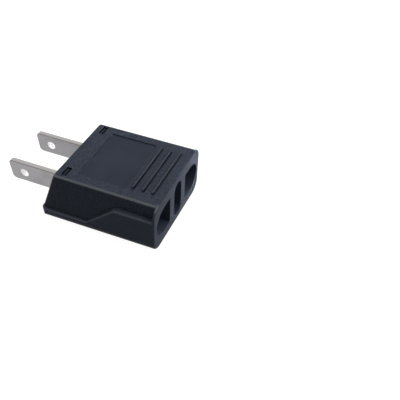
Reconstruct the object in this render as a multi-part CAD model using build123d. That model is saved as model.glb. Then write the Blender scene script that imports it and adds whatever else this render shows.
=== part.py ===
from build123d import *
import os
from math import radians, tan

# Housing, outside, in millimetres and degrees
BODY_HEIGHT = 15.4
TOP_LENGTH = 29.1
TOP_WIDTH = 23.4
SECTION_RADIUS = 3.3
SIDE_TAPER = 6.5
REAR_TAPER = 22.6
FRONT_LEAN = 3.5
TOP_EDGE_RADIUS = 0.75
REAR_CORNER_RADIUS = 0.8
FACE_EDGE_RADIUS = 0.4

# Raised lower skirt with its stepped ledge, and the rim round the socket face
LEDGE_REAR_HEIGHT = 3.95
LEDGE_FRONT_HEIGHT = 11.35
STEP_START = 8.8
STEP_END = 17.6
STEP_RADIUS = 1.2
REAR_LEDGE = 0.25
REAR_SIDE_LEDGE = 0.95
FRONT_SIDE_LEDGE = 1.44
LEDGE_RADIUS = 0.6
RIM_DEPTH = 0.5
FOOT_RADIUS = 1.2

# Grip ribs and label recess on the top face
RIB_COUNT = 3
RIB_PITCH = 2.68
RIB_FRONT_OFFSET = 3.06
RIB_LENGTH = 16.5
RIB_WIDTH = 0.8
RIB_HEIGHT = 0.5
RIB_CHAMFER = 0.16
PANEL_OFFSET = 5.5
PANEL_LENGTH = 13.4
PANEL_WIDTH = 17.8
PANEL_DEPTH = 0.2
PANEL_RADIUS = 0.6

# Socket apertures and the hollow behind them
PIN_HALL_INNER = 4.55
PIN_HALL_RADIUS = 4.4
PIN_HALL_CENTRE = 7.75
PIN_HALL_DEPTH = 12.6
SLOT_WIDTH = 4.2
SLOT_HEIGHT = 11.2
SLOT_DEPTH = 19.0
SLOT_END_WALL = 1.2
SIDE_WALL = 1.1
FLAT_WALL = 1.7
SEAT_STEP = 0.7

# Rear cap and its snap hooks
CAP_THICKNESS = 2.2
CAP_CLEARANCE = 0.1
HOOK_SPACING = 18.2
HOOK_WIDTH = 2.7
HOOK_LENGTH = 0.95
HOOK_START = 0.5
HOOK_GAP = 0.25
HOOK_SINK = 0.25
HOOK_RAMP = 0.3
ARM_THICKNESS = 0.55
ARM_ROOT = 0.6

# Flat blades
BLADE_SPACING = 12.7
BLADE_WIDTH = 6.35
BLADE_THICKNESS = 1.5
BLADE_REACH = 18.4
BLADE_TIP_RADIUS = 1.3
BLADE_EDGE = 0.2
BLADE_HOLE = 2.5
BLADE_HOLE_OFFSET = 4.6
BLADE_FIT = 0.05
SHOULDER_WIDTH = 8.4
SHOULDER_LENGTH = 1.6
TAIL_LENGTH = 7.4

# Spring contacts and rivets
CONTACT_THICKNESS = 0.4
CONTACT_WIDTH = 5.8
PLATE_LENGTH = 5.2
FINGER_WIDTH = 1.7
FINGER_LENGTH = 7.6
FINGER_BOW = 0.3
BEND_LENGTH = 2.6
BEND_RADIUS = 0.8
FINGER_CLEARANCE = 0.55
RIVET_RADIUS = 1.0
RIVET_HEAD_RADIUS = 1.7
RIVET_HEAD_HEIGHT = 0.5
RIVET_FIT = 0.03

# Places worked out from the sizes above; X runs from the blade tips to the socket face
MARGIN = 5.0
SMALL = 0.01
FRONT_X = (TOP_LENGTH + BLADE_REACH) / 2
REAR_X = FRONT_X - TOP_LENGTH
TIP_X = REAR_X - BLADE_REACH
MID_Z = BODY_HEIGHT / 2
BLADE_Y = BLADE_SPACING / 2
HOOK_Y = HOOK_SPACING / 2
HALL_X = FRONT_X - PIN_HALL_DEPTH
SLOT_X = FRONT_X - SLOT_DEPTH
DIVIDER_X = SLOT_X - SLOT_END_WALL
TAIL_X = REAR_X + TAIL_LENGTH
RIVET_X = TAIL_X - PLATE_LENGTH / 2
CAP_LOW = FLAT_WALL
CAP_HIGH = BODY_HEIGHT - FLAT_WALL
SIDES = {"left": 1, "right": -1}


def rear_x(z):
    """X of the sloping rear face at height z."""
    return REAR_X - tan(radians(REAR_TAPER)) * (BODY_HEIGHT - z)


def front_x(z):
    """X of the leaning socket face at height z."""
    return FRONT_X - tan(radians(FRONT_LEAN)) * (BODY_HEIGHT - z)


def side_y(z):
    """Half width of the tapered upper body at height z."""
    return TOP_WIDTH / 2 + tan(radians(SIDE_TAPER)) * (BODY_HEIGHT - z)


def box(x0, x1, y0, y1, z0, z1):
    """Block between two corners."""
    centre = Pos((x0 + x1) / 2, (y0 + y1) / 2, (z0 + z1) / 2)
    return centre * Box(x1 - x0, abs(y1 - y0), z1 - z0)


def outline_xz(points, y):
    """Face in X and Z at one place along Y."""
    return make_face(Polyline(*[(x, y, z) for x, z in points], close=True))


def profile(points, y0, y1):
    """Outline in X and Z, drawn out along Y."""
    return extrude(outline_xz(points, y0), amount=y1 - y0, dir=(0, 1, 0))


def slanted_slab(z0, z1, inset, depth0, depth1):
    """Block with sides parallel to the tapered body, between two planes parallel to the rear face."""
    corners = [(-1, z0), (1, z0), (1, z1), (-1, z1)]
    start_x = rear_x(0) - MARGIN
    section = Polyline(*[(start_x, s * (side_y(z) - inset), z) for s, z in corners], close=True)
    block = extrude(make_face(section), amount=FRONT_X + 2 * MARGIN - start_x, dir=(1, 0, 0))
    ends = [
        (rear_x(z0) + depth0, z0),
        (rear_x(z0) + depth1, z0),
        (rear_x(z1) + depth1, z1),
        (rear_x(z1) + depth0, z1),
    ]
    return block & profile(ends, -TOP_WIDTH, TOP_WIDTH)


def skirt_x():
    """X of the skirt's upright rear end."""
    return rear_x(LEDGE_REAR_HEIGHT) - REAR_LEDGE


def half_width(x):
    """Half width of the skirt at one place along X."""
    rear = side_y(LEDGE_REAR_HEIGHT) + REAR_SIDE_LEDGE
    front = side_y(LEDGE_FRONT_HEIGHT) + FRONT_SIDE_LEDGE
    return rear + (front - rear) * (x - skirt_x()) / (FRONT_X - skirt_x())


def plan(x0, x1):
    """Plan outline of the skirt between two places along X."""
    ends = [(x0, -1), (x1, -1), (x1, 1), (x0, 1)]
    return make_face(Polyline(*[(x, side * half_width(x)) for x, side in ends], close=True))


def rear_trim():
    """Space ahead of the skirt's upright rear end, with its corners and foot rounded."""
    outline = plan(skirt_x(), FRONT_X + MARGIN)
    outline = fillet(outline.vertices().sort_by(Axis.X)[:2], REAR_CORNER_RADIUS + REAR_SIDE_LEDGE)
    block = extrude(outline, amount=BODY_HEIGHT)
    foot = block.faces().sort_by(Axis.Z)[0]
    return fillet(foot.edges().sort_by(Axis.X)[:-1], FOOT_RADIUS)


def full_body():
    """Body at its full section, before its upper part is tapered."""
    body = extrude(plan(skirt_x() - MARGIN, FRONT_X + MARGIN), amount=BODY_HEIGHT)
    body = fillet([edge for edge in body.edges() if edge.bounding_box().size.X > MARGIN], SECTION_RADIUS)
    ahead = [
        (front_x(-MARGIN), -MARGIN),
        (FRONT_X + 2 * MARGIN, -MARGIN),
        (FRONT_X + 2 * MARGIN, BODY_HEIGHT + MARGIN),
        (front_x(BODY_HEIGHT + MARGIN), BODY_HEIGHT + MARGIN),
    ]
    body -= profile(ahead, -TOP_WIDTH, TOP_WIDTH)
    socket_face = body.faces().sort_by(Axis.X)[-1]
    return fillet(socket_face.edges(), FACE_EDGE_RADIUS)


def upper_zone():
    """Space above the stepped ledge and behind the rim, where the body tapers."""
    high = BODY_HEIGHT + MARGIN
    back = rear_x(0) - MARGIN
    points = [
        (back, LEDGE_REAR_HEIGHT),
        (REAR_X + STEP_START, LEDGE_REAR_HEIGHT),
        (REAR_X + STEP_END, LEDGE_FRONT_HEIGHT),
        (front_x(LEDGE_FRONT_HEIGHT) - RIM_DEPTH, LEDGE_FRONT_HEIGHT),
        (front_x(high) - RIM_DEPTH, high),
        (back, high),
    ]
    face = outline_xz(points, -TOP_WIDTH)
    steps = [v for v in face.vertices() if REAR_X < v.X < REAR_X + STEP_END + SMALL]
    face = fillet(steps, STEP_RADIUS)
    return extrude(face, amount=2 * TOP_WIDTH, dir=(0, 1, 0))


def tapered_core():
    """Upper body with sloping sides and rear, its top edges rounded."""
    core = slanted_slab(0, BODY_HEIGHT, 0, 0, TOP_LENGTH + MARGIN)
    rear_face = core.faces().sort_by(Axis.X)[0]
    core = fillet(rear_face.edges().filter_by(Axis.Y, reverse=True), REAR_CORNER_RADIUS)
    top = core.faces().sort_by(Axis.Z)[-1]
    rounded = top.edges().sort_by(Axis.X)[:-1]
    return fillet(rounded, TOP_EDGE_RADIUS)


def ledge_edges(skirt):
    """Outer edges of the stepped ledge."""
    low = LEDGE_REAR_HEIGHT - SMALL
    high = LEDGE_FRONT_HEIGHT + SMALL
    found = []
    for edge in skirt.edges():
        ends = [edge @ 0, edge @ 1]
        beside = ends[0].Y * ends[1].Y > 0 and all(abs(end.Y) > side_y(end.Z) for end in ends)
        if beside and all(low < end.Z < high for end in ends):
            found.append(edge)
    return found


def grip_ribs():
    """Raised ribs across the top face, near the socket end."""
    rib = extrude(SlotOverall(RIB_LENGTH, RIB_WIDTH, rotation=90), amount=RIB_HEIGHT + SMALL)
    rib = chamfer(rib.faces().sort_by(Axis.Z)[-1].edges(), RIB_CHAMFER)
    first = FRONT_X - RIB_FRONT_OFFSET
    places = [Pos(first - i * RIB_PITCH, 0, BODY_HEIGHT - SMALL) for i in range(RIB_COUNT)]
    return [place * rib for place in places]


def label_recess():
    """Shallow bare recess for a label on the top face."""
    centre = Pos(REAR_X + PANEL_OFFSET + PANEL_LENGTH / 2, 0, BODY_HEIGHT - PANEL_DEPTH)
    return centre * extrude(RectangleRounded(PANEL_LENGTH, PANEL_WIDTH, PANEL_RADIUS), amount=MARGIN)


def outer_body():
    """Skirt, rim and tapered upper body as one solid, with the details of its top face."""
    zone = upper_zone()
    skirt = full_body() - zone
    skirt = fillet(ledge_edges(skirt), LEDGE_RADIUS) & rear_trim()
    body = skirt + (tapered_core() & zone)
    return body + grip_ribs() - label_recess()


def pin_hall(side):
    """D shaped well that takes a flat blade or a round pin."""
    plane = Plane(origin=(HALL_X - SMALL, 0, MID_Z), x_dir=(0, 1, 0), z_dir=(1, 0, 0))
    flat = Pos(side * (PIN_HALL_INNER + PIN_HALL_CENTRE) / 2, 0)
    shape = flat * Rectangle(PIN_HALL_CENTRE - PIN_HALL_INNER, 2 * PIN_HALL_RADIUS)
    shape += Pos(side * PIN_HALL_CENTRE, 0) * Circle(PIN_HALL_RADIUS)
    shape &= Pos(side * (PIN_HALL_INNER + MARGIN), 0) * Rectangle(2 * MARGIN, 4 * MARGIN)
    return extrude(plane * shape, amount=PIN_HALL_DEPTH + MARGIN)


def middle_slot():
    """Round ended blind slot in the middle of the socket face."""
    plane = Plane(origin=(SLOT_X, 0, MID_Z), x_dir=(0, 0, 1), z_dir=(1, 0, 0))
    return extrude(plane * SlotOverall(SLOT_HEIGHT, SLOT_WIDTH), amount=SLOT_DEPTH + MARGIN)


def contact_room():
    """Hollow for the contacts, open to the rear, with the divider left standing in it."""
    low = CAP_LOW + SEAT_STEP
    high = CAP_HIGH - SEAT_STEP
    room = slanted_slab(low, high, SIDE_WALL, -MARGIN, TOP_LENGTH)
    room &= box(TIP_X, HALL_X, -TOP_WIDTH, TOP_WIDTH, 0, BODY_HEIGHT)
    divider = box(DIVIDER_X, HALL_X + MARGIN, -PIN_HALL_INNER, PIN_HALL_INNER, 0, BODY_HEIGHT)
    recess = slanted_slab(CAP_LOW, CAP_HIGH, SIDE_WALL, -MARGIN, CAP_THICKNESS)
    return room - divider + recess


def hook_places():
    """Side and level of each snap hook, as signs of Y and Z."""
    return [(side, level) for side in (1, -1) for level in (1, -1)]


def arm_levels(level):
    """Heights of the free face and of the wall side face of a hook arm."""
    wall = CAP_HIGH - CAP_CLEARANCE if level > 0 else CAP_LOW + CAP_CLEARANCE
    return wall - level * ARM_THICKNESS, wall


def hook_x(level):
    """X where a hook's head starts, measured from the cap's inner face."""
    return rear_x(arm_levels(level)[1]) + CAP_THICKNESS + HOOK_START


def hook_window(side, level):
    """Channel for a hook arm and the window in the wall over its head."""
    half = HOOK_WIDTH / 2 + HOOK_GAP
    x0 = hook_x(level) - HOOK_GAP
    x1 = hook_x(level) + HOOK_LENGTH + HOOK_GAP
    wall = CAP_HIGH if level > 0 else CAP_LOW
    inside = wall - level * (SEAT_STEP + SMALL)
    outside = BODY_HEIGHT + MARGIN if level > 0 else -MARGIN
    ys = (side * HOOK_Y - half, side * HOOK_Y + half)
    channel = box(rear_x(wall) + SMALL, x1, *ys, *sorted((inside, wall)))
    return channel + box(x0, x1, *ys, *sorted((inside, outside)))


def housing():
    """One moulding: sleeve, socket face, divider and hook windows."""
    body = outer_body() - contact_room() - middle_slot()
    for side in SIDES.values():
        body -= pin_hall(side)
    for place in hook_places():
        body -= hook_window(*place)
    return body


def blade_slot(side):
    """Slot in the rear cap for one blade."""
    half_y = BLADE_THICKNESS / 2 + BLADE_FIT
    half_z = BLADE_WIDTH / 2 + BLADE_FIT
    y = side * BLADE_Y
    return box(TIP_X, FRONT_X, y - half_y, y + half_y, MID_Z - half_z, MID_Z + half_z)


def snap_hook(side, level):
    """Springy arm with a ramped head that stands in its window."""
    free, wall = arm_levels(level)
    start = rear_x(wall) + CAP_THICKNESS - ARM_ROOT
    x0 = hook_x(level)
    x1 = x0 + HOOK_LENGTH
    top = BODY_HEIGHT - HOOK_SINK if level > 0 else HOOK_SINK
    points = [
        (start, free),
        (x1, free),
        (x1, wall),
        (x1 - HOOK_RAMP, top),
        (x0, top),
        (x0, wall),
        (start, wall),
    ]
    y = side * HOOK_Y
    return profile(points, y - HOOK_WIDTH / 2, y + HOOK_WIDTH / 2)


def rear_cap():
    """Sloping cover plate that carries the blades and snaps into the housing."""
    inset = SIDE_WALL + CAP_CLEARANCE
    low = CAP_LOW + CAP_CLEARANCE
    high = CAP_HIGH - CAP_CLEARANCE
    cap = slanted_slab(low, high, inset, 0, CAP_THICKNESS - SMALL)
    cap &= box(skirt_x(), FRONT_X, -TOP_WIDTH, TOP_WIDTH, 0, BODY_HEIGHT)
    for side in SIDES.values():
        cap -= blade_slot(side)
    for place in hook_places():
        cap += snap_hook(*place)
    return cap


def blade(side):
    """Flat blade with a rounded tip, a cross hole and shoulders that seat on the cap's inner face."""
    y = side * BLADE_Y
    y0 = y - BLADE_THICKNESS / 2
    y1 = y + BLADE_THICKNESS / 2
    bar = box(TIP_X, TAIL_X, y0, y1, MID_Z - BLADE_WIDTH / 2, MID_Z + BLADE_WIDTH / 2)
    tip = bar.faces().sort_by(Axis.X)[0]
    bar = fillet(tip.edges().filter_by(Axis.Y), BLADE_TIP_RADIUS)
    bar = chamfer([edge for face in bar.faces().filter_by(Axis.Y) for edge in face.edges()], BLADE_EDGE)
    low = MID_Z - SHOULDER_WIDTH / 2
    high = MID_Z + SHOULDER_WIDTH / 2
    shoulder = [
        (rear_x(low) + CAP_THICKNESS, low),
        (rear_x(low) + CAP_THICKNESS + SHOULDER_LENGTH, low),
        (rear_x(high) + CAP_THICKNESS + SHOULDER_LENGTH, high),
        (rear_x(high) + CAP_THICKNESS, high),
    ]
    bar += profile(shoulder, y0, y1)
    bar -= across(TIP_X + BLADE_HOLE_OFFSET, BLADE_HOLE / 2, y0 - MARGIN, y1 + MARGIN)
    return bar - across(RIVET_X, RIVET_RADIUS + RIVET_FIT, y0 - MARGIN, y1 + MARGIN)


def across(x, radius, y0, y1):
    """Round bar along Y at mid height."""
    plane = Plane(origin=(x, y0, MID_Z), x_dir=(1, 0, 0), z_dir=(0, 1, 0))
    return extrude(plane * Circle(radius), amount=y1 - y0)


def strip(points, z0, z1):
    """Sheet metal strip that follows a path in X and Y between two heights."""
    path = FilletPolyline(*[(x, y, z0) for x, y in points], radius=BEND_RADIUS)
    return extrude(trace(path, line_width=CONTACT_THICKNESS), amount=z1 - z0)


def contact(side):
    """Stamped contact: a plate on the blade's tail, a middle finger and two outer fingers."""
    y = side * (BLADE_Y + BLADE_THICKNESS / 2 + CONTACT_THICKNESS / 2)
    end = TAIL_X + FINGER_LENGTH
    low = MID_Z - CONTACT_WIDTH / 2
    high = MID_Z + CONTACT_WIDTH / 2
    half = CONTACT_THICKNESS / 2
    outer = side * (side_y(high) - SIDE_WALL - FINGER_CLEARANCE - half)
    body = box(TAIL_X - PLATE_LENGTH, TAIL_X + half, y - half, y + half, low, high)
    bow_x = end - BEND_LENGTH
    middle = [(TAIL_X, y), (TAIL_X + BEND_LENGTH, y), (bow_x, y - side * FINGER_BOW), (end, y)]
    body += strip(middle, MID_Z - FINGER_WIDTH / 2, MID_Z + FINGER_WIDTH / 2)
    outside = [(TAIL_X, y), (TAIL_X + BEND_LENGTH, outer), (bow_x, outer - side * FINGER_BOW), (end, outer)]
    body += strip(outside, low, low + FINGER_WIDTH)
    body += strip(outside, high - FINGER_WIDTH, high)
    return body - across(RIVET_X, RIVET_RADIUS + RIVET_FIT, min(0, y) - MARGIN, max(0, y) + MARGIN)


def rivet(side):
    """Rivet that joins a blade's tail to its contact."""
    inner = side * (BLADE_Y - BLADE_THICKNESS / 2)
    outer = side * (BLADE_Y + BLADE_THICKNESS / 2 + CONTACT_THICKNESS)
    head = side * RIVET_HEAD_HEIGHT
    body = across(RIVET_X, RIVET_RADIUS, *sorted((inner, outer)))
    for start, stop in ((inner - head, inner), (outer, outer + head)):
        body += across(RIVET_X, RIVET_HEAD_RADIUS, *sorted((start, stop)))
    return body


def main():
    """Write one file for each piece."""
    os.makedirs("parts", exist_ok=True)
    export_step(housing(), "parts/housing.step")
    export_step(rear_cap(), "parts/rear_cap.step")
    for name, side in SIDES.items():
        export_step(blade(side), f"parts/{name}_blade.step")
        export_step(contact(side), f"parts/{name}_contact.step")
        export_step(rivet(side), f"parts/{name}_rivet.step")


main()
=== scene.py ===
"""Dresses a small black travel adapter: moulded shell, plated blades, brass contacts and a white studio."""
from math import pi, radians

import bpy
from bpy.props import FloatProperty, FloatVectorProperty, PointerProperty
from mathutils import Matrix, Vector

bl_info = {
    "name": "Travel adapter finishes",
    "version": (1, 0, 0),
    "blender": (4, 5, 0),
    "location": "3D View > Sidebar > Adapter",
    "description": "Finishes a travel adapter's shell, blades and contacts and sets its studio",
    "category": "Material",
}

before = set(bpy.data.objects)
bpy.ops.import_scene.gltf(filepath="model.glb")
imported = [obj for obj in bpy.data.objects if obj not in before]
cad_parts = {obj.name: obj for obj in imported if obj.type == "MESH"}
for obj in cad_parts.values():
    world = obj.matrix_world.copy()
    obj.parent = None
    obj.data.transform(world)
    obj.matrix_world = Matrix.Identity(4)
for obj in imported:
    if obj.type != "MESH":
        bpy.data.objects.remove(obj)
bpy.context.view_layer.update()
MM = 0.001
PER_MM = 1000.0
X, Y, Z = range(3)
EVEN = (1.0, 1.0, 1.0)
UNMOVED = (0.0, 0.0, 0.0)
WHITE = (1.0, 1.0, 1.0, 1.0)

# Places on the adapter, in millimetres from its origin
PANEL_X = 6.85
PANEL_LENGTH = 13.4
PANEL_WIDTH = 17.8
PANEL_LOW_Z = 14.9
TOP_EDGE_Y = 10.6
TOP_EDGE_Z = 14.2
LEDGE_Y = 11.6
LEDGE_Z = 13.2
SIDE_FOOT_Y = 13.45
SIDE_LEAN = 0.114
RIB_FOOT_Z = 15.3
RIB_CROWN_Z = 15.8
FACE_X = 22.0
HOOK_X = -3.2
HOOK_Y = 9.1
HOOK_REACH_X = 1.9
HOOK_REACH_Y = 1.8
HOOK_LOW_Z = 13.0
HOOK_HIGH_Z = 15.34
WELL_X = 4.0
WELL_LOW_Z = 1.9
WELL_HIGH_Z = 13.4
WELL_SKIN_Y = 6.0
BLADE_HOLE_X = -19.15
BLADE_HOLE_Z = 7.7
BLADE_HOLE_REACH_SQUARED = 2.1

# Sizes of the soft patterns, in millimetres
CLOUD_SIZE = 6.0
FLOW_SIZE = 2.2
PATCH_SIZE = 1.1
MARK_SIZE = 0.5
HAND_SIZE = 3.4
TARNISH_SIZE = 1.6

# The stage, in metres, and how squarely a direction meets the window where its light begins and is full
MIDDLE = (0.004, 0.0, 0.008)
FLOOR_REACH = 3.0
FLOOR_DROP = 0.00002
NEAREST_SEEN = 0.005
FRAME_WIDTH_MM = 36.0
WINDOW_EDGE = 0.35
WINDOW_FULL = 0.85


class Wire:
    """One output of a finish's nodes, which takes part in sums as a number would."""

    def __init__(self, finish, socket):
        self.finish = finish
        self.socket = socket

    def maths(self, operation, first, second=None, clamp=False):
        """One step of arithmetic on links or numbers."""
        values = {0: first} if second is None else {0: first, 1: second}
        settings = {"operation": operation, "use_clamp": clamp}
        return self.finish.wire("ShaderNodeMath", settings, values)

    def __add__(self, other):
        return self.maths("ADD", self, other)

    def __radd__(self, other):
        return self.maths("ADD", other, self)

    def __sub__(self, other):
        return self.maths("SUBTRACT", self, other)

    def __rsub__(self, other):
        return self.maths("SUBTRACT", other, self)

    def __mul__(self, other):
        return self.maths("MULTIPLY", self, other)

    def __rmul__(self, other):
        return self.maths("MULTIPLY", other, self)

    def size(self):
        """The same number without its sign."""
        return self.maths("ABSOLUTE", self)

    def within(self):
        """The same number, held between nothing and one."""
        return self.maths("ADD", self, 0.0, clamp=True)

    def swing(self, amount):
        """A pattern between nothing and one, turned into a swing of that amount about nothing."""
        return (self - 0.5) * amount

    def above(self, start, full):
        """Nothing up to start, rising smoothly to one at full."""
        values = {"Value": self, "From Min": start, "From Max": full}
        return self.finish.wire("ShaderNodeMapRange", {"interpolation_type": "SMOOTHSTEP"}, values)

    def past(self, start, fade):
        """Nothing up to start, and one when a fade's length past it."""
        return self.above(start, start + fade)


class Nodes:
    """The nodes of one material, or of the room round the adapter."""

    def __init__(self, owner, end):
        owner.use_nodes = True
        self.tree = owner.node_tree
        self.tree.nodes.clear()
        self.output = self.node(end)

    def node(self, kind, settings=None, values=None):
        """Adds a node, sets it up, then fills its sockets with values or links."""
        made = self.tree.nodes.new(kind)
        for key, setting in (settings or {}).items():
            setattr(made, key, setting)
        for key, value in (values or {}).items():
            socket = made.inputs[key]
            if isinstance(value, Wire):
                self.tree.links.new(value.socket, socket)
            elif value is not None:
                socket.default_value = value
        return made

    def wire(self, kind, settings=None, values=None, output=0):
        """Adds a node and returns one of its outputs."""
        return Wire(self, self.node(kind, settings, values).outputs[output])

    def match(self, first, second):
        """How far two directions agree, from -1 to 1."""
        settings = {"operation": "DOT_PRODUCT"}
        return self.wire("ShaderNodeVectorMath", settings, {0: first, 1: second}, "Value")

    def close(self, shader):
        """Makes a shader the surface that is seen."""
        self.tree.links.new(shader.socket, self.output.inputs["Surface"])


class Finish(Nodes):
    """One material and its nodes."""

    def __init__(self, name):
        self.material = bpy.data.materials.new(name)
        super().__init__(self.material, "ShaderNodeOutputMaterial")

    def opaque(self, colour):
        """A colour with its alpha, or a link as it is."""
        return colour if isinstance(colour, Wire) else (*colour[:3], 1.0)

    def place(self, stretch=EVEN, shift=UNMOVED):
        """Position on the part in millimetres, stretched and shifted."""
        spot = self.wire("ShaderNodeTexCoord", output="Object")
        scale = tuple(PER_MM * share for share in stretch)
        return self.wire("ShaderNodeMapping", {}, {"Vector": spot, "Scale": scale, "Location": shift})

    def along(self, axis):
        """Position on the part along one axis, in millimetres."""
        spot = self.wire("ShaderNodeTexCoord", output="Object")
        return self.wire("ShaderNodeSeparateXYZ", {}, {0: spot}, axis) * PER_MM

    def facing(self, axis):
        """How far the surface faces along one axis of the part, from -1 to 1."""
        normal = self.wire("ShaderNodeNewGeometry", output="Normal")
        return self.wire("ShaderNodeSeparateXYZ", {}, {0: normal}, axis)

    def noise(self, size, stretch=EVEN, detail=2.0, rough=0.5, shift=UNMOVED):
        """Cloudy pattern whose lumps are about size millimetres across."""
        values = {"Vector": self.place(stretch, shift), "Scale": 1.0 / size}
        values.update({"Detail": detail, "Roughness": rough})
        return self.wire("ShaderNodeTexNoise", {}, values)

    def cells(self, size):
        """Distance to scattered points that lie about size millimetres apart."""
        values = {"Vector": self.place(), "Scale": 1.0 / size}
        return self.wire("ShaderNodeTexVoronoi", {"feature": "F1"}, values)

    def layered(self, base, layers):
        """A base colour with further colours laid over it, each where its mask is one."""
        for mask, colour in layers:
            values = {0: mask, 6: self.opaque(base), 7: self.opaque(colour)}
            base = self.wire("ShaderNodeMix", {"data_type": "RGBA"}, values, 2)
        return base

    def bump(self, height, depth, under=None):
        """Surface direction pushed by a height that is depth millimetres from low to high."""
        return self.wire("ShaderNodeBump", {}, {"Height": height, "Distance": depth * MM, "Normal": under})

    def rounded(self, radius):
        """Surface direction with the sharp edges softened by radius millimetres."""
        return self.wire("ShaderNodeBevel", {"samples": 6}, {"Radius": radius * MM})

    def edge_wear(self, radius):
        """One along sharp edges and nothing on flat ground."""
        normal = self.wire("ShaderNodeNewGeometry", output="Normal")
        turned = 1.0 - self.match(self.rounded(radius), normal)
        return turned.above(0.004, 0.12)

    def surface(self, **values):
        """The shader that closes the material, with its sockets by name."""
        inputs = {key.replace("_", " "): value for key, value in values.items()}
        self.close(self.wire("ShaderNodeBsdfPrincipled", {}, inputs))

    def dress(self, *nodes):
        """Puts the material on pieces of the adapter."""
        for name in nodes:
            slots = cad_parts[name].data.materials
            slots.clear()
            slots.append(self.material)


def tinted(colour, share):
    """A colour made darker or paler."""
    return tuple(part * share for part in colour)


def colour_setting(name, description, default):
    """A colour that a user may change."""
    return FloatVectorProperty(
        name=name, description=description, subtype="COLOR", size=3, min=0.0, max=1.0, default=default)


def share_setting(name, description, default):
    """A share between nothing and one that a user may change."""
    return FloatProperty(
        name=name, description=description, subtype="FACTOR", min=0.0, max=1.0, default=default)


def length_setting(name, description, millimetres):
    """A length that a user may change, given in millimetres and kept in metres."""
    return FloatProperty(
        name=name, description=description, subtype="DISTANCE", unit="LENGTH", precision=5,
        default=millimetres * MM)


def power_setting(name, description, watts):
    """A lamp's power that a user may change."""
    return FloatProperty(name=name, description=description, unit="POWER", min=0.0, default=watts)


def place_setting(name, description, metres):
    """A place in the studio that a user may change."""
    return FloatVectorProperty(
        name=name, description=description, subtype="TRANSLATION", unit="LENGTH", size=3, default=metres)


def direction_setting(name, description, default):
    """A direction that a user may change."""
    return FloatVectorProperty(
        name=name, description=description, subtype="DIRECTION", size=3, default=default)


class ShellSettings(bpy.types.PropertyGroup):
    """Black moulded plastic of the housing and the rear cap."""

    plastic: colour_setting("Plastic", "Colour of the moulded plastic", (0.031, 0.037, 0.052))
    # Paler plastic: real wear on the sharp corners, painted highlight on the top edges and the ledge, and
    # paler rib crowns
    scuff_and_sheen: colour_setting("Scuffed plastic", "Colour of rubbed edges", (0.06, 0.067, 0.078))
    # Painted light: the lower walls are a paler, lit copy of the plastic
    skirt: colour_setting("Skirt", "Colour of the slightly paler lower walls", (0.05, 0.06, 0.087))
    # Painted shade: near-black laid on the label panel, the ribs' long walls and the hook windows
    shade: colour_setting("Shade", "Colour in the corners by the ribs and hooks", (0.002, 0.0022, 0.003))
    # Painted light: the socket face is a paler, lit copy of the plastic
    face: colour_setting("Socket face", "Colour of the face round the pin wells", (0.05, 0.057, 0.076))
    # Painted light inside the pin wells: a paler copy of the plastic
    inside: colour_setting("Wells", "Colour of the walls inside the pin wells", (0.044, 0.055, 0.084))
    roughness: share_setting("Roughness", "How dull the textured faces are", 0.42)
    shine: share_setting("Shine", "Strength of the textured faces' reflections", 0.02)
    polish: share_setting("Polish", "How dull the rubbed edges are", 0.32)
    grain: length_setting("Grain", "Size of the moulded grain", 0.36)
    relief: length_setting("Relief", "Depth of the moulded grain", 0.07)
    edge: length_setting("Edge", "Rounding of the sharp moulded edges", 0.12)
    clouding: share_setting("Clouding", "Strength of the wide paler clouds", 0.5)
    # Painted shade in the grain's hollows and painted highlight on its peaks
    hollows: share_setting("Hollows", "Darkness of the grain's hollows", 0.45)
    peaks: share_setting("Peaks", "Paleness of the grain's peaks", 0.64)
    panel_shade: share_setting("Panel shade", "Darkness of the smooth label panel", 0.1)
    rib_shade: share_setting("Rib shade", "Darkness of the ribs' long walls", 0.9)
    # Paler colour laid on the crowns of the ribs
    crown_paling: share_setting("Crown wear", "Rubbing on the crowns of the ribs", 0.45)
    # Painted highlight on the ledge of the skirt, in the scuffed colour
    ledge_sheen: share_setting("Ledge wear", "Rubbing on the ledge of the skirt", 0.3)
    ledge_gloss: share_setting("Ledge gloss", "Polish on the ledge of the skirt", 0.35)
    corner_wear: share_setting("Corner wear", "Rubbing on the sharp corners", 0.4)


class BladeSettings(bpy.types.PropertyGroup):
    """Plated metal of the flat blades."""

    plating: colour_setting("Plating", "Colour of the nickel plating", (0.315, 0.308, 0.32))
    stain: colour_setting("Stain", "Warm colour of handling marks", (0.27, 0.235, 0.215))
    drawn: colour_setting("Drawn lines", "Colour of the fine lines along a blade", (0.22, 0.215, 0.215))
    bright: colour_setting("Bright edge", "Colour of edges that are rubbed bright", (0.5, 0.495, 0.49))
    # Paler cut edges: bare cut metal with a painted highlight
    sheared_sheen: colour_setting("Sheared edge", "Colour of the long cut edges", (0.42, 0.41, 0.402))
    # Painted highlight: the walls of the punched holes are near-white
    punched: colour_setting("Punched hole", "Colour of the walls of the holes", (0.96, 0.955, 0.95))
    # Painted shade: dark colour on the bevels round a blade's flat faces
    rubbed: colour_setting("Rubbed bevel", "Colour of bevels with thin plating", (0.17, 0.15, 0.14))
    roughness: share_setting("Roughness", "How dull the plating is", 0.46)
    brushing: length_setting("Brushing", "Width of the fine lines along a blade", 0.09)
    relief: length_setting("Relief", "Depth of the fine lines along a blade", 0.003)
    edge: length_setting("Edge", "Rounding of a blade's sharp edges", 0.08)
    rubbing: length_setting("Rubbing", "Width of the bright rubbed edges", 0.15)
    staining: share_setting("Staining", "Strength of the handling marks", 0.25)
    lining: share_setting("Lining", "Strength of the fine lines", 0.18)
    brightening: share_setting("Brightening", "Strength of the bright rubbed edges", 0.5)
    # Strength of the painted shade on the bevels
    bevel_shading: share_setting("Thinning", "How thin the plating is on the bevels", 0.85)


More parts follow.
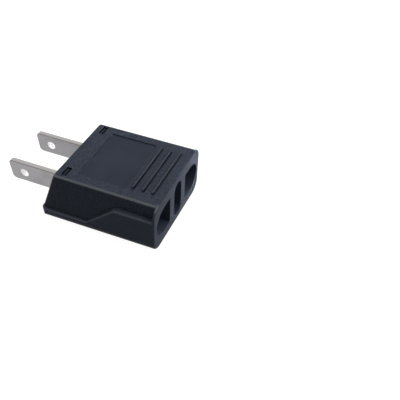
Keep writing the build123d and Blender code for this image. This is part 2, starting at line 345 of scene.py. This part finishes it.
class ContactSettings(bpy.types.PropertyGroup):
    """Bare brass of the spring contacts and rivets."""

    brass: colour_setting("Brass", "Colour of clean brass", (0.72, 0.53, 0.25))
    tarnish: colour_setting("Tarnish", "Colour of dulled brass", (0.36, 0.25, 0.12))
    roughness: share_setting("Roughness", "How dull the brass is", 0.36)
    dulling: share_setting("Dulling", "Strength of the tarnish", 0.6)
    rolling: length_setting("Rolling", "Width of the rolling lines in the strip", 0.07)
    relief: length_setting("Relief", "Depth of the rolling lines in the strip", 0.002)


class StageSettings(bpy.types.PropertyGroup):
    """Camera, floor and lamps."""

    camera: place_setting("Camera", "Place of the camera", (0.06656, -0.08762, 0.10386))
    aim: direction_setting("Aim", "Direction in which the camera looks", (-0.2762, 0.6541, -0.7042))
    lens: FloatProperty(
        name="Lens", description="Focal length on a 36 mm wide frame", subtype="DISTANCE_CAMERA",
        default=47.7)
    floor: colour_setting("Floor", "Colour of the pale floor", (0.22, 0.22, 0.22))
    glow: share_setting("Glow", "How far the floor is lifted to white for the eye", 0.95)
    softness: length_setting("Softness", "Width of the key lamp and the fill lamp", 250.0)
    key: power_setting("Key lamp", "Lamp before the socket face", 0.65)
    key_place: place_setting("Key place", "Place of the key lamp", (0.41, -0.08, 0.29))
    fill: power_setting("Fill lamp", "Lamp on the blades' side, in front", 0.2)
    fill_place: place_setting("Fill place", "Place of the fill lamp", (-0.14, -0.36, 0.34))
    side: power_setting("Side lamp", "Narrow lamp on the far end of the socket face", 0.0046)
    side_place: place_setting("Side place", "Place of the side lamp", (0.13, 0.05, 0.03))
    side_target: place_setting("Side target", "Place that the side lamp lights", (0.0235, 0.018, 0.014))
    side_width: length_setting("Side width", "Width of the side lamp", 30.0)
    side_spread: FloatProperty(
        name="Side spread", description="Angle of the side lamp's beam", subtype="ANGLE", unit="ROTATION",
        default=radians(22.0))
    window: direction_setting("Window", "Direction of the brightest part of the room", (0.05, 0.78, 0.624))
    gleam: FloatProperty(
        name="Gleam", description="Brightness of the room towards the window", min=0.0, default=1.95)
    dusk: share_setting("Dusk", "Brightness of the room away from the window", 0.05)


class AdapterSettings(bpy.types.PropertyGroup):
    """Everything that a user may change."""

    shell: PointerProperty(type=ShellSettings, name="Shell", description="Finish of the moulded shell")
    blades: PointerProperty(type=BladeSettings, name="Blades", description="Finish of the flat blades")
    contacts: PointerProperty(type=ContactSettings, name="Contacts", description="Finish of the brass parts")
    stage: PointerProperty(type=StageSettings, name="Stage", description="Camera, floor and lamps")


class ADAPTER_OT_shell(bpy.types.Operator):
    """Finish the housing and the rear cap in textured black plastic"""

    bl_idname = "adapter.shell"
    bl_label = "Finish shell"

    def execute(self, context):
        settings = context.scene.adapter.shell
        finish = Finish("moulded_black_plastic")
        size = settings.grain * PER_MM
        edge = settings.edge * PER_MM
        panel = self.label_panel(finish)
        rough = 1.0 - panel
        grain = finish.noise(size, detail=3.0, rough=0.6)
        pits = finish.cells(size * 0.8)
        cloud = finish.noise(CLOUD_SIZE)
        flow = finish.noise(FLOW_SIZE, stretch=(0.25, 1.0, 1.0), detail=3.0)
        wear = self.worn_corners(finish, edge)
        face_painted_light = self.socket_face(finish)
        # Band of painted highlight along the top edges; it also carries the coat's gloss
        edges = self.top_edge_sheen(finish)
        ledges = self.ledges(finish)
        crowns = finish.along(Z).past(RIB_CROWN_Z, 0.06)
        # Painted shade in the grain's hollows and painted highlight on its peaks
        hollows = grain.above(0.5, 0.3) * rough
        peaks = grain.above(0.48, 0.64) * rough
        base = finish.layered(settings.plastic, (
            # Painted light on the skirt's lower walls
            (self.skirt(finish), settings.skirt),
            (cloud.above(0.3, 0.7) * settings.clouding, tinted(settings.plastic, 1.3)),
            (hollows * settings.hollows, tinted(settings.plastic, 0.55)),
            (peaks * settings.peaks, tinted(settings.plastic, 1.9)),
            # Painted shade on the label panel
            (panel * settings.panel_shade, settings.shade),
            # Painted light on the socket face
            (face_painted_light, settings.face),
            # Painted light on the walls inside the pin wells
            (self.wells(finish), settings.inside),
            # Crowns of the ribs made paler
            (crowns * settings.crown_paling, settings.scuff_and_sheen),
            # Painted shade on the ribs' long walls
            (self.rib_walls(finish) * settings.rib_shade, settings.shade),
            # Painted shade in the hook windows and on the hooks
            (self.hook_windows(finish), settings.shade),
            # Painted highlight on the skirt's ledge
            (ledges * settings.ledge_sheen, settings.scuff_and_sheen),
            # Painted highlight along the rounded top edges
            (edges * flow, settings.scuff_and_sheen),
            (wear * settings.corner_wear, settings.scuff_and_sheen),
        ))
        dull = settings.roughness + grain.swing(0.3) * rough + flow.swing(0.1) - wear * 0.1 + face_painted_light * 0.1
        gloss = edges + ledges * settings.ledge_gloss
        height = (grain * 0.7 + pits * 0.3) * rough
        normal = finish.bump(height, settings.relief * PER_MM, under=finish.rounded(edge))
        finish.surface(
            Base_Color=base, Roughness=dull.within(), Normal=normal, Coat_Weight=gloss.within(),
            Coat_Roughness=settings.polish, Specular_IOR_Level=settings.shine)
        finish.dress("housing", "rear_cap")
        return {"FINISHED"}

    def worn_corners(self, finish, edge):
        """One in patches along the sharp corners, clear of the floor."""
        patches = finish.noise(PATCH_SIZE, detail=3.0).above(0.38, 0.62)
        return finish.edge_wear(edge) * patches * finish.along(Z).past(0.4, 0.6)

    def label_panel(self, finish):
        """One on the smooth recessed panel of the top face."""
        along = (PANEL_LENGTH / 2 - (finish.along(X) - PANEL_X).size()).above(-0.05, 0.15)
        across = (PANEL_WIDTH / 2 - finish.along(Y).size()).above(-0.05, 0.15)
        level = finish.facing(Z).above(0.9, 0.98) * finish.along(Z).past(PANEL_LOW_Z, 0.2)
        return along * across * level

    def socket_face(self, finish):
        """One on the face round the pin wells."""
        return finish.facing(X).above(0.9, 0.97) * finish.along(X).past(FACE_X, 0.4)

    def top_edge_sheen(self, finish):
        """One along the rounded long edges of the top face, where a highlight is painted."""
        up = finish.facing(Z)
        curve = up.above(0.3, 0.6) * (1.0 - up.above(0.95, 0.998))
        across = finish.along(Y).size().past(TOP_EDGE_Y, 0.3)
        return curve * across * finish.along(Z).past(TOP_EDGE_Z, 0.3)

    def ledges(self, finish):
        """One on the ledge along the top of the skirt."""
        below = (LEDGE_Z - finish.along(Z)).above(0.0, 0.5)
        outside = finish.along(Y).size().past(LEDGE_Y, 0.3)
        return finish.facing(Z).above(0.2, 0.6) * below * outside

    def skirt(self, finish):
        """One on the walls that stand proud below the ledge."""
        side = SIDE_FOOT_Y - finish.along(Z) * SIDE_LEAN
        return (finish.along(Y).size() - side).above(0.25, 0.6)

    def rib_walls(self, finish):
        """One on the long walls of the grip ribs."""
        return finish.facing(X).above(0.35, 0.7) * finish.along(Z).past(RIB_FOOT_Z, 0.1)

    def hook_windows(self, finish):
        """How deep the shade is on the snap hooks and on the walls of their windows in the top face."""
        along = (HOOK_REACH_X - (finish.along(X) - HOOK_X).size()).above(0.0, 0.1)
        across = (HOOK_REACH_Y - (finish.along(Y).size() - HOOK_Y).size()).above(0.0, 0.1)
        height = finish.along(Z)
        deep = height.past(HOOK_LOW_Z, 0.2) * (HOOK_HIGH_Z - height).above(0.0, 0.04)
        heads = finish.facing(Z).above(0.7, 0.9)
        return along * across * deep * (0.9 - heads * 0.5)

    def wells(self, finish):
        """One on the walls inside the pin wells and the middle slot."""
        upright = 1.0 - finish.facing(X).size().above(0.75, 0.95)
        across = finish.along(Y)
        height = finish.along(Z)
        tall = height.past(WELL_LOW_Z, 0.2) * (WELL_HIGH_Z - height).above(0.0, 0.1)
        skin = (finish.facing(Y) * across).above(0.5, 1.0) * across.size().past(WELL_SKIN_Y, 0.5)
        return finish.along(X).past(WELL_X, 1.0) * tall * upright * (1.0 - skin)


class ADAPTER_OT_blades(bpy.types.Operator):
    """Finish the flat blades in satin plating with fine lines along them"""

    bl_idname = "adapter.blades"
    bl_label = "Finish blades"

    def execute(self, context):
        settings = context.scene.adapter.blades
        finish = Finish("satin_nickel_plating")
        width = settings.brushing * PER_MM
        edge = settings.edge * PER_MM
        lines = finish.noise(width, stretch=(0.035, 1.0, 1.0), detail=3.0, rough=0.65)
        marks = finish.noise(MARK_SIZE, stretch=(0.12, 1.0, 1.0), shift=(7.0, 3.0, 1.0))
        hands = finish.noise(HAND_SIZE, detail=3.0, shift=(2.0, 9.0, 4.0))
        wear = finish.edge_wear(settings.rubbing * PER_MM)
        hole = self.hole_painted_highlight(finish)
        cut = finish.facing(Z).size().above(0.6, 0.9) * (1.0 - hole)
        bevel = self.bevels(finish) * (1.0 - hole)
        base = finish.layered(settings.plating, (
            (hands.above(0.48, 0.72) * settings.staining, settings.stain),
            (lines.above(0.35, 0.7) * settings.lining, settings.drawn),
            (wear * settings.brightening, settings.bright),
            # Cut edges: bare cut metal with a painted highlight
            (cut, settings.sheared_sheen),
            # Painted highlight on the walls of the punched holes
            (hole, settings.punched),
            # Painted shade on the blade's bevels
            (bevel * settings.bevel_shading, settings.rubbed),
        ))
        dull = settings.roughness + lines.swing(0.22) + marks.swing(0.14)
        dull = dull + hands.above(0.5, 0.75) * 0.08 + hole * 0.45
        normal = finish.bump(lines, settings.relief * PER_MM, under=finish.rounded(edge))
        finish.surface(Base_Color=base, Metallic=1.0, Roughness=dull.within(), Normal=normal)
        finish.dress("left_blade", "right_blade")
        return {"FINISHED"}

    def bevels(self, finish):
        """One on the small bevels round a blade's flat faces."""
        tilt = finish.facing(Y).size()
        return tilt.above(0.45, 0.6) * (1.0 - tilt.above(0.8, 0.92))

    def hole_painted_highlight(self, finish):
        """One on the walls of the punched holes, which are painted near-white as a highlight."""
        along = finish.along(X) - BLADE_HOLE_X
        height = finish.along(Z) - BLADE_HOLE_Z
        near = (BLADE_HOLE_REACH_SQUARED - along * along - height * height).above(0.0, 0.3)
        return near * (1.0 - finish.facing(Y).size()).above(0.4, 0.8)


class ADAPTER_OT_contacts(bpy.types.Operator):
    """Finish the spring contacts and rivets in slightly dulled brass"""

    bl_idname = "adapter.contacts"
    bl_label = "Finish contacts"

    def execute(self, context):
        settings = context.scene.adapter.contacts
        finish = Finish("spring_brass")
        cloud = finish.noise(TARNISH_SIZE, detail=4.0, rough=0.6)
        lines = finish.noise(settings.rolling * PER_MM, stretch=(0.05, 1.0, 1.0))
        dulled = cloud.above(0.42, 0.7) * settings.dulling
        base = finish.layered(settings.brass, ((dulled, settings.tarnish),))
        dull = settings.roughness + lines.swing(0.2) + cloud.above(0.45, 0.75) * 0.15
        normal = finish.bump(lines, settings.relief * PER_MM)
        finish.surface(Base_Color=base, Metallic=1.0, Roughness=dull.within(), Normal=normal)
        finish.dress("left_contact", "right_contact", "left_rivet", "right_rivet")
        return {"FINISHED"}


class ADAPTER_OT_stage(bpy.types.Operator):
    """Set the camera, the white floor and the soft lamps"""

    bl_idname = "adapter.stage"
    bl_label = "Set stage"

    def execute(self, context):
        settings = context.scene.adapter.stage
        self.add_camera(context, settings)
        self.add_floor(context, settings)
        self.set_world(context, settings)
        self.add_lamp(context, "key_lamp", settings.key, settings.key_place, settings.softness)
        self.add_lamp(context, "fill_lamp", settings.fill, settings.fill_place, settings.softness)
        self.add_side_lamp(context, settings)
        context.scene.view_settings.view_transform = "Standard"
        return {"FINISHED"}

    def turn(self, item, direction):
        """Points a camera or a lamp in a direction."""
        item.rotation_euler = direction.to_track_quat("-Z", "Y").to_euler()

    def add_camera(self, context, settings):
        """Camera at the chosen place."""
        data = bpy.data.cameras.new("camera")
        data.lens = settings.lens
        data.sensor_width = FRAME_WIDTH_MM
        data.clip_start = NEAREST_SEEN
        camera = bpy.data.objects.new("camera", data)
        camera.location = settings.camera
        self.turn(camera, Vector(settings.aim))
        context.scene.collection.objects.link(camera)
        context.scene.camera = camera

    def add_floor(self, context, settings):
        """Wide pale floor that reads as white and keeps a faint shadow."""
        mesh = bpy.data.meshes.new("floor")
        corners = ((-1, -1), (1, -1), (1, 1), (-1, 1))
        points = [(x * FLOOR_REACH, y * FLOOR_REACH, -FLOOR_DROP) for x, y in corners]
        mesh.from_pydata(points, [], [(0, 1, 2, 3)])
        finish = Finish("pale_floor")
        matt = finish.wire("ShaderNodeBsdfDiffuse", {}, {"Color": finish.opaque(settings.floor)})
        glow = finish.wire("ShaderNodeEmission", {}, {"Strength": settings.glow})
        unlit = finish.wire("ShaderNodeEmission", {}, {"Strength": 0.0})
        seen = self.background_rays(finish)
        lift = finish.wire("ShaderNodeMixShader", {}, {0: seen, 1: unlit, 2: glow})
        finish.close(finish.wire("ShaderNodeAddShader", {}, {0: matt, 1: lift}))
        mesh.materials.append(finish.material)
        floor = bpy.data.objects.new("floor", mesh)
        context.scene.collection.objects.link(floor)

    def set_world(self, context, settings):
        """White to the eye, and a soft light that comes mostly from one large window."""
        world = bpy.data.worlds.new("studio")
        context.scene.world = world
        room = Nodes(world, "ShaderNodeOutputWorld")
        look = room.wire("ShaderNodeTexCoord", output="Generated")
        near = room.match(look, tuple(settings.window)).above(WINDOW_EDGE, WINDOW_FULL)
        walls, window, white = [
            room.wire("ShaderNodeBackground", {}, {"Color": WHITE, "Strength": strength})
            for strength in (settings.dusk, settings.gleam, 1.0)]
        light = room.wire("ShaderNodeMixShader", {}, {0: near, 1: walls, 2: window})
        seen = self.background_rays(room)
        room.close(room.wire("ShaderNodeMixShader", {}, {0: seen, 1: light, 2: white}))

    def background_rays(self, nodes):
        """One on the rays by which the background is seen, straight on, in gloss or through glass."""
        kinds = ("Is Camera Ray", "Is Glossy Ray", "Is Transmission Ray")
        return sum(nodes.wire("ShaderNodeLightPath", output=kind) for kind in kinds).within()

    def add_lamp(self, context, name, power, place, width, target=MIDDLE, spread=pi):
        """Soft square lamp that points at the adapter."""
        data = bpy.data.lights.new(name, "AREA")
        data.energy = power
        data.size = width
        data.spread = spread
        lamp = bpy.data.objects.new(name, data)
        lamp.location = place
        self.turn(lamp, Vector(target) - Vector(place))
        context.scene.collection.objects.link(lamp)
        return lamp

    def add_side_lamp(self, context, settings):
        """Narrow lamp that brightens the far end of the socket face and leaves no spot of gloss."""
        lamp = self.add_lamp(
            context, "side_lamp", settings.side, settings.side_place, settings.side_width,
            settings.side_target, settings.side_spread)
        lamp.visible_glossy = False


class ADAPTER_PT_finishes(bpy.types.Panel):
    """The adapter's finishes in the sidebar"""

    bl_idname = "ADAPTER_PT_finishes"
    bl_label = "Travel adapter"
    bl_space_type = "VIEW_3D"
    bl_region_type = "UI"
    bl_category = "Adapter"

    def draw(self, context):
        settings = context.scene.adapter
        for step in ("shell", "blades", "contacts", "stage"):
            group = getattr(settings, step)
            column = self.layout.column(align=True)
            for name in group.bl_rna.properties.keys():
                if name not in {"rna_type", "name"}:
                    column.prop(group, name)
            column.operator(f"adapter.{step}")


CLASSES = (
    ShellSettings,
    BladeSettings,
    ContactSettings,
    StageSettings,
    AdapterSettings,
    ADAPTER_OT_shell,
    ADAPTER_OT_blades,
    ADAPTER_OT_contacts,
    ADAPTER_OT_stage,
    ADAPTER_PT_finishes,
)


def register():
    """Adds the settings, the steps and the panel."""
    for kind in CLASSES:
        bpy.utils.register_class(kind)
    bpy.types.Scene.adapter = PointerProperty(
        type=AdapterSettings, name="Travel adapter", description="Finishes and stage of the travel adapter")


def unregister():
    """Takes the settings, the steps and the panel away."""
    del bpy.types.Scene.adapter
    for kind in reversed(CLASSES):
        bpy.utils.unregister_class(kind)


def main():
    """Runs every step."""
    register()
    bpy.ops.adapter.shell()
    bpy.ops.adapter.blades()
    bpy.ops.adapter.contacts()
    bpy.ops.adapter.stage()


if __name__ == "__main__":
    main()
